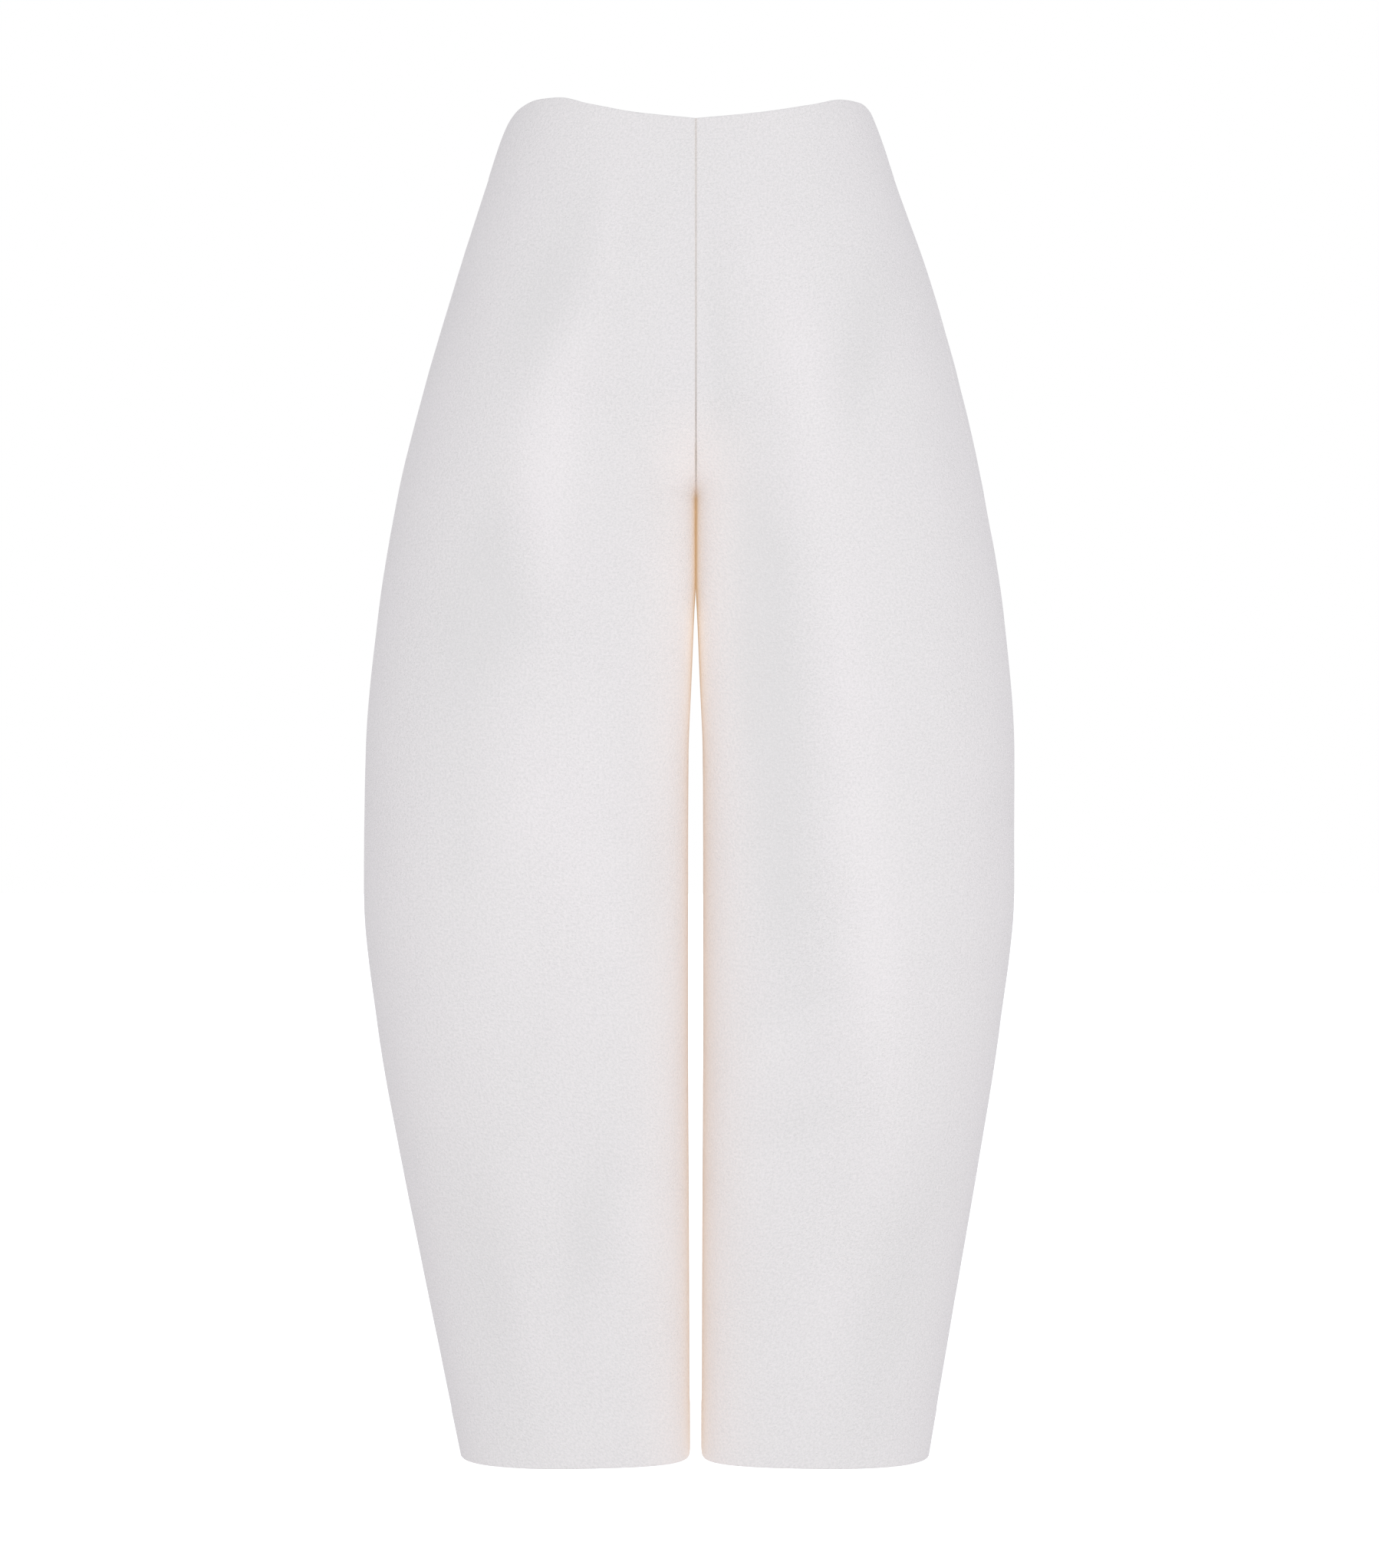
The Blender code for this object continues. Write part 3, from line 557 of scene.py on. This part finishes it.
def cloth_panel(name, side, face):
    """One finished panel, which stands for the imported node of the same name."""
    grid = panel_grid(side, face)
    normals = outward(grid.points, side, face)
    lift = fold_height(BROAD_FOLDS, BROAD_CLEAR_OF_CENTRE, grid.points, normals)
    lift += fold_height(FINE_FOLDS, FINE_CLEAR_OF_CENTRE, grid.points, normals)
    lift += wobble(grid.points) * np.clip(np.minimum(grid.from_side, grid.from_centre) / 0.02, 0, 1)
    outer_in, inner_in = edge_shape(grid, side)
    outer = grid.points + normals * (lift - outer_in)[..., None]
    inner = grid.points + normals * (lift - inner_in)[..., None]

    sheet = flat_cloth("cloth_" + name)
    rows, columns = grid_places(sheet.data)
    loop_vertex = np.empty(len(sheet.data.loops), dtype=int)
    sheet.data.loops.foreach_get("vertex_index", loop_vertex)
    metres = np.stack([grid.from_side, -grid.from_waist], axis=-1)[rows, columns]
    sheet.data.uv_layers[0].data.foreach_set("uv", metres[loop_vertex].ravel())
    sheet.data.vertices.foreach_set("co", outer[rows, columns].ravel())
    if side * face < 0:
        sheet.data.flip_normals()
    bpy.ops.object.modifier_add(type="SOLIDIFY")
    wall = sheet.modifiers[-1]
    wall.thickness = CLOTH
    wall.offset = -1
    bpy.ops.object.modifier_apply(modifier=wall.name)
    both = np.concatenate([outer[rows, columns], inner[rows, columns]])
    sheet.data.vertices.foreach_set("co", both.ravel())
    sheet.data.update()
    bpy.ops.object.shade_smooth()
    depth, aside = -grid.points[..., 2], np.abs(grid.points[..., 0])
    # Painted warm light: a warm tint and a glow on the inner legs, as if light bounced between them.
    painted_warm_light = within(INNER_LEG_TOP, depth, INNER_LEG_STEP) * np.exp(-(aside / INNER_LEG_WIDE) ** 2)
    facing = np.clip(1.4 * np.abs(normals[..., 0]) - 0.4, 0, 1)
    # Painted glow: the crease where the legs press together at the fork glows warm.
    fork_crease_glow = facing * within(GOLD_TOP, depth, GOLD_STEP) * np.exp(-(aside / GOLD_WIDE) ** 2)
    # Painted glow: the sideways faces beside the gap between the lower legs glow.
    lit = facing * within(GAP_TOP, depth, GAP_STEP) * np.exp(-(aside / GAP_WIDE) ** 2)
    # Painted shade: darker in the hollows between folds.
    hollow = np.clip(0.5 - 0.5 * lift / TONE_LIFT, 0, 1)
    # Painted shade: a dark line along the centre seam, strongest below the fork where the legs meet.
    seam_shade_weight = SEAM_FAINT + (SEAM_STRONG - SEAM_FAINT) * within(CREASE_TOP, depth, CREASE_STEP)
    seam = seam_shade_weight * np.exp(-(grid.from_centre / SEAM_LINE) ** 2)
    # The painted warm light and glows are weaker on the back panels.
    glow = 1.0 if face == FRONT else BACK_GLOW
    for name_of, values in (("inner_leg_warm_light", glow * painted_warm_light), ("fork_crease_glow", glow * fork_crease_glow), ("gap", glow * lit),
                            ("hollow", hollow), ("seam", seam)):
        paint(sheet, name_of, values[rows, columns])

    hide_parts(name)
    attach(sheet, "root")
    return sheet


panels = [
    cloth_panel("front_left", LEFT, FRONT),
    cloth_panel("front_right", RIGHT, FRONT),
    cloth_panel("back_left", LEFT, BACK),
    cloth_panel("back_right", RIGHT, BACK),
]

# %% [markdown]
# ## Shader sums that read like Python
# Node materials are sums, and sums are easier to read as text. A small class holds a socket and
# turns + - * / into Math nodes. One method makes any other node from its type, its settings and
# its inputs, so a whole finish is a short function.

# %% A small class for materials
class Value:
    """A number that varies over a surface."""

    def __init__(self, graph, socket):
        self.graph = graph
        self.socket = socket

    def join(self, operation, first, second):
        made = self.graph.node("ShaderNodeMath", {"operation": operation}, {0: first, 1: second})
        return Value(self.graph, made.outputs[0])

    def __add__(self, other):
        return self.join("ADD", self, other)

    __radd__ = __add__

    def __sub__(self, other):
        return self.join("SUBTRACT", self, other)

    def __rsub__(self, other):
        return self.join("SUBTRACT", other, self)

    def __mul__(self, other):
        return self.join("MULTIPLY", self, other)

    __rmul__ = __mul__

    def __truediv__(self, other):
        return self.join("DIVIDE", self, other)

    def sine(self):
        return self.join("SINE", self, 0)


class Graph:
    """Fills a node tree from expressions."""

    def __init__(self, tree):
        self.tree = tree

    def node(self, kind, settings=None, inputs=None):
        made = self.tree.nodes.new(kind)
        for key, value in (settings or {}).items():
            setattr(made, key, value)
        for key, value in (inputs or {}).items():
            self.feed(made.inputs[key], value)
        return made

    def feed(self, socket, value):
        if isinstance(value, Value):
            self.tree.links.new(value.socket, socket)
        elif isinstance(value, bpy.types.NodeSocket):
            self.tree.links.new(value, socket)
        else:
            socket.default_value = value

    def parts(self, vector):
        split = self.node("ShaderNodeSeparateXYZ", {}, {0: vector})
        return [Value(self, socket) for socket in split.outputs]

    def noise(self, place_on, scale, detail=2.0, roughness=0.5, dimensions="3D"):
        made = self.node("ShaderNodeTexNoise", {"noise_dimensions": dimensions},
                         {"Vector": place_on, "Scale": scale, "Detail": detail,
                          "Roughness": roughness})
        return Value(self, made.outputs["Fac"])

    def blend(self, factor, first, second):
        made = self.node("ShaderNodeMix", {"data_type": "RGBA"}, {0: factor, 6: first, 7: second})
        return made.outputs[2]


class Finish(Graph):
    """A node material."""

    def __init__(self, name):
        self.material = bpy.data.materials.new(name)
        self.material.use_nodes = True
        super().__init__(self.material.node_tree)
        self.shader = self.tree.nodes["Principled BSDF"]

    def set(self, **sockets):
        for key, value in sockets.items():
            self.feed(self.shader.inputs[key.replace("_", " ")], value)

    def painted(self, name):
        """A number that was painted on the piece's points."""
        return Value(self, self.node("ShaderNodeAttribute", {"attribute_name": name}).outputs["Fac"])

    def bump(self, height, distance, strength=1.0):
        made = self.node("ShaderNodeBump", {}, {"Height": height, "Distance": distance,
                                                "Strength": strength})
        self.feed(self.shader.inputs["Normal"], made.outputs["Normal"])


# %% [markdown]
# ## Ivory crepe
# Crepe is woven from tightly twisted yarn that crinkles as it relaxes, which raises fine, uneven
# pebbles between faint rows of weft. The pebbles are a millimetre or two across: too fine for the
# mesh, so they are bump. Two sizes of noise give them, and a rippled sine gives the rows, which
# come and go. The colour is a warm white with a very weak and slow drift of tint, as undyed wool
# and viscose have. Over it lies painted shade: a touch deeper between the pebbles and in the
# hollows between folds, and a dark line along the centre seam, strongest where the legs meet.
# Painted warm light tints the inner legs, and painted glows light the inner legs, the crease at
# the fork and the gap between the legs.

# %% Crepe
PEBBLE_SCALE = 560.0
LUMP_SCALE = 210.0
WEFT_PITCH = 0.0012
CREPE_LIGHT = (0.960, 0.922, 0.885, 1)
CREPE_PAINTED_SHADE = (0.838, 0.812, 0.782, 1)
CREPE_ROSE = (0.960, 0.908, 0.888, 1)
CREPE_PAINTED_WARM_LIGHT = (0.955, 0.885, 0.830, 1)
GOLD_LIGHT = (0.138, 0.092, 0.050, 1)
ROSE_LIGHT = (0.060, 0.036, 0.028, 1)
GAP_LIGHT = (0.185, 0.150, 0.122, 1)
SEAM_PAINTED_SHADE = (0.560, 0.420, 0.270, 1)


def crepe():
    """Pebbled ivory crepe, measured in metres of cloth."""
    finish = Finish("ivory_crepe")
    cloth_uv = finish.node("ShaderNodeUVMap").outputs["UV"]
    across, down, _ = finish.parts(cloth_uv)
    pebble = finish.noise(cloth_uv, PEBBLE_SCALE, 3.0, 0.6, "2D")
    lump = finish.noise(cloth_uv, LUMP_SCALE, 2.0, 0.5, "2D")
    ripple = finish.noise(cloth_uv, 90.0, 1.0, 0.5, "2D")
    weft = (down * (2 * math.pi / WEFT_PITCH) + ripple * 9.0).sine()
    patch = finish.noise(cloth_uv, 16.0, 1.0, 0.5, "2D")
    height = pebble + 0.8 * lump + 0.10 * weft * patch
    drift = finish.noise(finish.node("ShaderNodeTexCoord").outputs["Object"], 22.0, 2.0)
    tint = finish.blend(drift, CREPE_LIGHT, CREPE_ROSE)
    # Painted warm light: the inner legs are tinted warmer, as if lit by light bounced between them.
    tint = finish.blend(finish.painted("inner_leg_warm_light") * 0.7, tint, CREPE_PAINTED_WARM_LIGHT)
    # Painted shade: a touch darker between the pebbles and in the hollows between folds.
    pit = finish.node("ShaderNodeMapRange", {}, {0: pebble, 1: 0.35, 2: 0.62, 3: 0.60, 4: 0.0})
    deep = Value(finish, pit.outputs[0]) + 0.8 * finish.painted("hollow") - 0.12
    # Painted shade: the pebble and hollow shade, then a dark painted shade line along the centre
    # seam.
    toned = finish.blend(finish.painted("seam"), finish.blend(deep, tint, CREPE_PAINTED_SHADE), SEAM_PAINTED_SHADE)
    finish.set(Base_Color=toned, Roughness=0.92)
    # Painted glows, though no lamp is there: on the inner legs, at the fork crease and at the gap
    # between the legs.
    painted_glow = finish.blend(finish.painted("inner_leg_warm_light"), (0, 0, 0, 1), ROSE_LIGHT)
    painted_glow = finish.blend(finish.painted("gap"), painted_glow, GAP_LIGHT)
    finish.set(Emission_Color=finish.blend(finish.painted("fork_crease_glow"), painted_glow, GOLD_LIGHT))
    finish.shader.inputs["Emission Strength"].default_value = 1.0
    finish.shader.inputs["Sheen Weight"].default_value = 0.12
    finish.shader.inputs["Sheen Roughness"].default_value = 0.6
    finish.shader.inputs["Specular IOR Level"].default_value = 0.25
    finish.bump(height, 0.00062)
    return finish.material


crepe_finish = crepe()
for sheet in panels:
    sheet.data.materials.clear()
    sheet.data.materials.append(crepe_finish)
print("crepe on", len(panels), "panels")

# %% [markdown]
# ## The concealed zip
# A concealed zip is sewn behind the seam, so that from outside only its slider shows. Inside are
# two narrow woven tapes with a nylon coil along the seam line. The tapes are one more sheet, laid
# on the same form a cloth's thickness further in. The coil is hundreds of equal turns, so one
# turn is shaped from a cube and copied down the seam, each copy turned to lie across it.

# %% Zip tape
TAPE_HALF, TAPE_TOP, TAPE_FOOT_Z = 0.0115, 0.0010, -0.2042
TAPE_IN, TAPE_WALL = 0.0021, 0.0008
TAPE_ACROSS, TAPE_DOWN = 24, 90
TURN_PITCH, TURN_WIDE, TURN_TALL, TURN_DEEP = 0.0013, 0.0042, 0.0008, 0.0010
TURN_ROUND = 0.00034
COIL_TOP, COIL_FOOT = -0.0150, -0.1990


def laid(z, away):
    """Points on the outer cloth of the wearer's left side at heights z, folds and all."""
    points = place(LEFT, z, away)
    above = place(LEFT, z + 0.002, away)
    beside = place(LEFT, z, away + 0.002)
    normals = np.cross(beside - points, above - points)
    normals /= np.linalg.norm(normals, axis=-1, keepdims=True)
    return points + normals * fold_height(BROAD_FOLDS, BROAD_CLEAR_OF_CENTRE, points,
                                          normals)[:, None], normals


def zip_tapes():
    """The two tapes as one narrow sheet behind the seam."""
    heights = np.linspace(TAPE_TOP, TAPE_FOOT_Z, TAPE_DOWN + 1)
    columns = [laid(heights, np.full_like(heights, TAPE_HALF * share))
               for share in np.linspace(-1, 1, TAPE_ACROSS + 1)]
    points = np.stack([column[0] for column in columns], axis=1)
    normals = np.stack([column[1] for column in columns], axis=1)
    outer = points - TAPE_IN * normals
    inner = outer - TAPE_WALL * normals
    bpy.ops.object.select_all(action="DESELECT")
    bpy.ops.mesh.primitive_grid_add(x_subdivisions=TAPE_ACROSS, y_subdivisions=TAPE_DOWN, size=1)
    tape = bpy.context.object
    tape.name = tape.data.name = "zip_tapes"
    co = np.empty(len(tape.data.vertices) * 3)
    tape.data.vertices.foreach_get("co", co)
    co = co.reshape(-1, 3)
    rows = np.rint((0.5 - co[:, 1]) * TAPE_DOWN).astype(int)
    across = np.rint((co[:, 0] + 0.5) * TAPE_ACROSS).astype(int)
    loop_vertex = np.empty(len(tape.data.loops), dtype=int)
    tape.data.loops.foreach_get("vertex_index", loop_vertex)
    metres = np.stack([TAPE_HALF * (2 * across / TAPE_ACROSS - 1), heights[rows]], axis=-1)
    tape.data.uv_layers[0].data.foreach_set("uv", metres[loop_vertex].ravel())
    tape.data.vertices.foreach_set("co", outer[rows, across].ravel())
    bpy.ops.object.modifier_add(type="SOLIDIFY")
    wall = tape.modifiers[-1]
    wall.thickness = TAPE_WALL
    wall.offset = -1
    bpy.ops.object.modifier_apply(modifier=wall.name)
    both = np.concatenate([outer[rows, across], inner[rows, across]])
    tape.data.vertices.foreach_set("co", both.ravel())
    tape.data.update()
    bpy.ops.object.shade_smooth()
    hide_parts("zip_tape")
    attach(tape, "root")
    return tape


def zip_coil():
    """The closed coil, as one turn copied down the seam."""
    bpy.ops.object.select_all(action="DESELECT")
    bpy.ops.mesh.primitive_cube_add(size=1)
    turn = bpy.context.object
    bpy.ops.object.mode_set(mode="EDIT")
    bpy.ops.mesh.select_all(action="SELECT")
    bpy.ops.transform.resize(value=(TURN_DEEP, TURN_WIDE, TURN_TALL))
    bpy.ops.mesh.bevel(offset=TURN_ROUND, segments=1)
    bpy.ops.object.mode_set(mode="OBJECT")
    count = int((COIL_TOP - COIL_FOOT) / TURN_PITCH)
    heights = np.linspace(COIL_TOP, COIL_FOOT, count)
    seat, normals = laid(heights, np.zeros_like(heights))
    seat = seat - (TAPE_IN + TAPE_WALL + 0.4 * TURN_DEEP) * normals
    turns = []
    for here, normal, down in zip(seat, normals, np.gradient(seat, axis=0)):
        out = Vector(normal)
        up = (out * out.dot(Vector(down)) - Vector(down)).normalized()
        frame_here = Matrix((out, up.cross(out), up)).transposed().to_4x4()
        frame_here.translation = Vector(here)
        copy = turn.copy()
        copy.data = turn.data.copy()
        copy.data.transform(frame_here)
        bpy.context.collection.objects.link(copy)
        turns.append(copy)
    bpy.data.objects.remove(turn)
    for copy in turns:
        copy.select_set(True)
    bpy.context.view_layer.objects.active = turns[0]
    bpy.ops.object.join()
    coil = bpy.context.object
    coil.name = coil.data.name = "zip_coil"
    bpy.ops.object.shade_smooth_by_angle(angle=math.radians(50))
    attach(coil, "root")
    print("coil of", count, "turns")
    return coil


tapes, coil = zip_tapes(), zip_coil()

# %% [markdown]
# The slider shows a small plate with two ears and a pin, and a drop-shaped tab hangs on the pin.
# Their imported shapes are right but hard-edged. A copy of each, welded and bevelled, keeps the
# shape and gets the softened edges that catch light. The tab rides on its own body, so it swings.

# %% Slider and pull tab
WELD, EDGE_SOFT = 0.00001, 0.00010


def softened(node, body, name):
    """A copy of a packed hard piece with its sharp edges rounded."""
    bpy.ops.object.select_all(action="DESELECT")
    piece = bpy.data.objects.new(name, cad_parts[node].data.copy())
    piece.data.name = name
    bpy.context.collection.objects.link(piece)
    piece.select_set(True)
    bpy.context.view_layer.objects.active = piece
    bpy.ops.object.mode_set(mode="EDIT")
    bpy.ops.mesh.select_all(action="SELECT")
    bpy.ops.mesh.remove_doubles(threshold=WELD)
    bpy.ops.mesh.tris_convert_to_quads()
    bpy.ops.object.mode_set(mode="OBJECT")
    bpy.ops.object.modifier_add(type="BEVEL")
    soft = piece.modifiers[-1]
    soft.width = EDGE_SOFT
    soft.segments = 2
    soft.limit_method = "ANGLE"
    soft.angle_limit = math.radians(50)
    bpy.ops.object.modifier_apply(modifier=soft.name)
    bpy.ops.object.shade_smooth_by_angle(angle=math.radians(40))
    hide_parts(node)
    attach(piece, body)
    print(name, len(piece.data.polygons), "faces")
    return piece


slider = softened("zip_slider", "root", "zip_slider_plate")
pull = softened("zip_pull", "zip_pull", "zip_pull_tab")

# %% [markdown]
# The tape is a herringbone: a slanted rib that changes side every few millimetres, made by a
# rippled sine on the tape's own UV map. The slider and coil are painted metal and nylon in the
# same ivory, smooth enough to shine, with a little unevenness and small worn spots of roughness.

# %% Finishes of the zip
RIB_PITCH, BAND_WIDE = 0.0007, 0.0046


def tape_finish():
    """Herringbone tape, measured in metres on its own UV map."""
    finish = Finish("ivory_tape")
    across, down, _ = finish.parts(finish.node("ShaderNodeUVMap").outputs["UV"])
    zigzag = finish.node("ShaderNodeMath", {"operation": "PINGPONG"}, {0: across, 1: BAND_WIDE})
    rib = ((down + Value(finish, zigzag.outputs[0])) * (2 * math.pi / RIB_PITCH)).sine()
    tone = finish.node("ShaderNodeMapRange", {}, {0: rib, 1: -1.0, 2: 1.0})
    finish.set(Base_Color=finish.blend(tone.outputs[0], (0.78, 0.75, 0.70, 1), (0.88, 0.86, 0.81, 1)),
               Roughness=0.8)
    finish.bump(rib, 0.00012)
    return finish.material


def enamel_finish():
    """Ivory enamel, with slight unevenness and worn spots."""
    finish = Finish("ivory_enamel")
    at = finish.node("ShaderNodeTexCoord").outputs["Object"]
    spots = finish.node("ShaderNodeMapRange", {}, {0: finish.noise(at, 900.0, 2.0), 1: 0.45, 2: 0.7,
                                                   3: 0.28, 4: 0.48})
    finish.set(Base_Color=finish.blend(finish.noise(at, 300.0, 1.0), (0.80, 0.785, 0.75, 1),
                                       (0.86, 0.845, 0.81, 1)), Roughness=spots.outputs[0])
    finish.shader.inputs["Coat Weight"].default_value = 0.4
    finish.bump(finish.noise(at, 1400.0, 1.0), 0.00002)
    return finish.material


enamel = enamel_finish()
for piece, material in ((tapes, tape_finish()), (coil, enamel), (slider, enamel), (pull, enamel)):
    piece.data.materials.clear()
    piece.data.materials.append(material)
print("zip dressed")

# %% [markdown]
# ## A plain studio
# The light is a soft white dome. It is a little brighter in front and a little brighter at both
# sides, and level above. One large lamp in front, a little to the right, lets the creases show.
# Rays that go straight from the camera to the dome see plain white, so the background stays clean
# from any side. The floor lies well under the hems.

# %% Floor, light and background
FLOOR_DROP = 0.125
FLOOR_SIZE = 40.0
DOME_FRONT_COLOUR = (0.925, 0.953, 1.0, 1)
DOME_SIDE_COLOUR = (0.925, 0.918, 1.0, 1)
DOME_LOW_COLOUR = (1.0, 0.955, 0.985, 1)
DOME, DOME_FRONT, DOME_TOP, DOME_SIDES = 0.777, 0.02, 0.0, -0.05
KEY_PLACE, KEY_SIZE, KEY_POWER = (0.35, -2.6, -0.30), 1.2, 14.0
KEY_COLOUR = (0.940, 0.960, 1.0)

bpy.ops.object.select_all(action="DESELECT")
bpy.ops.mesh.primitive_plane_add(size=FLOOR_SIZE, location=(0, 0, cad_low.z - FLOOR_DROP))
floor = bpy.context.object
floor.name = "floor"
floor.visible_diffuse = False
floor_finish = Finish("pale_floor")
floor_finish.set(Base_Color=(0.6, 0.6, 0.6, 1), Roughness=0.8)
floor_finish.shader.inputs["Emission Color"].default_value = (1, 1, 1, 1)
floor_finish.shader.inputs["Emission Strength"].default_value = 0.75
floor.data.materials.append(floor_finish.material)

bpy.ops.object.light_add(type="AREA", location=KEY_PLACE)
key = bpy.context.object
key.name = "key_lamp"
key.data.size = KEY_SIZE
key.data.energy = KEY_POWER
key.data.color = KEY_COLOUR
aim = Vector((0, 0, EYE_HEIGHT)) - Vector(KEY_PLACE)
key.rotation_euler = aim.to_track_quat("-Z", "Y").to_euler()

world = bpy.data.worlds.new("studio")
bpy.context.scene.world = world
world.use_nodes = True
sky = Graph(world.node_tree)
aside, back, above = sky.parts(sky.node("ShaderNodeTexCoord").outputs["Generated"])
strength = DOME - DOME_FRONT * back + DOME_TOP * above - DOME_SIDES * aside * aside
dome = sky.tree.nodes["Background"]
wide = sky.blend(aside * aside, DOME_FRONT_COLOUR, DOME_SIDE_COLOUR)
sky.feed(dome.inputs["Color"], sky.blend(-0.6 * above, wide, DOME_LOW_COLOUR))
sky.feed(dome.inputs["Strength"], strength)
white = sky.node("ShaderNodeBackground", {}, {"Color": (1, 1, 1, 1), "Strength": 1.0})
seen = sky.node("ShaderNodeLightPath").outputs["Is Camera Ray"]
pick = sky.node("ShaderNodeMixShader", {}, {0: seen, 1: dome.outputs[0], 2: white.outputs[0]})
sky.feed(sky.tree.nodes["World Output"].inputs["Surface"], pick.outputs[0])
bpy.context.scene.view_settings.view_transform = "Standard"
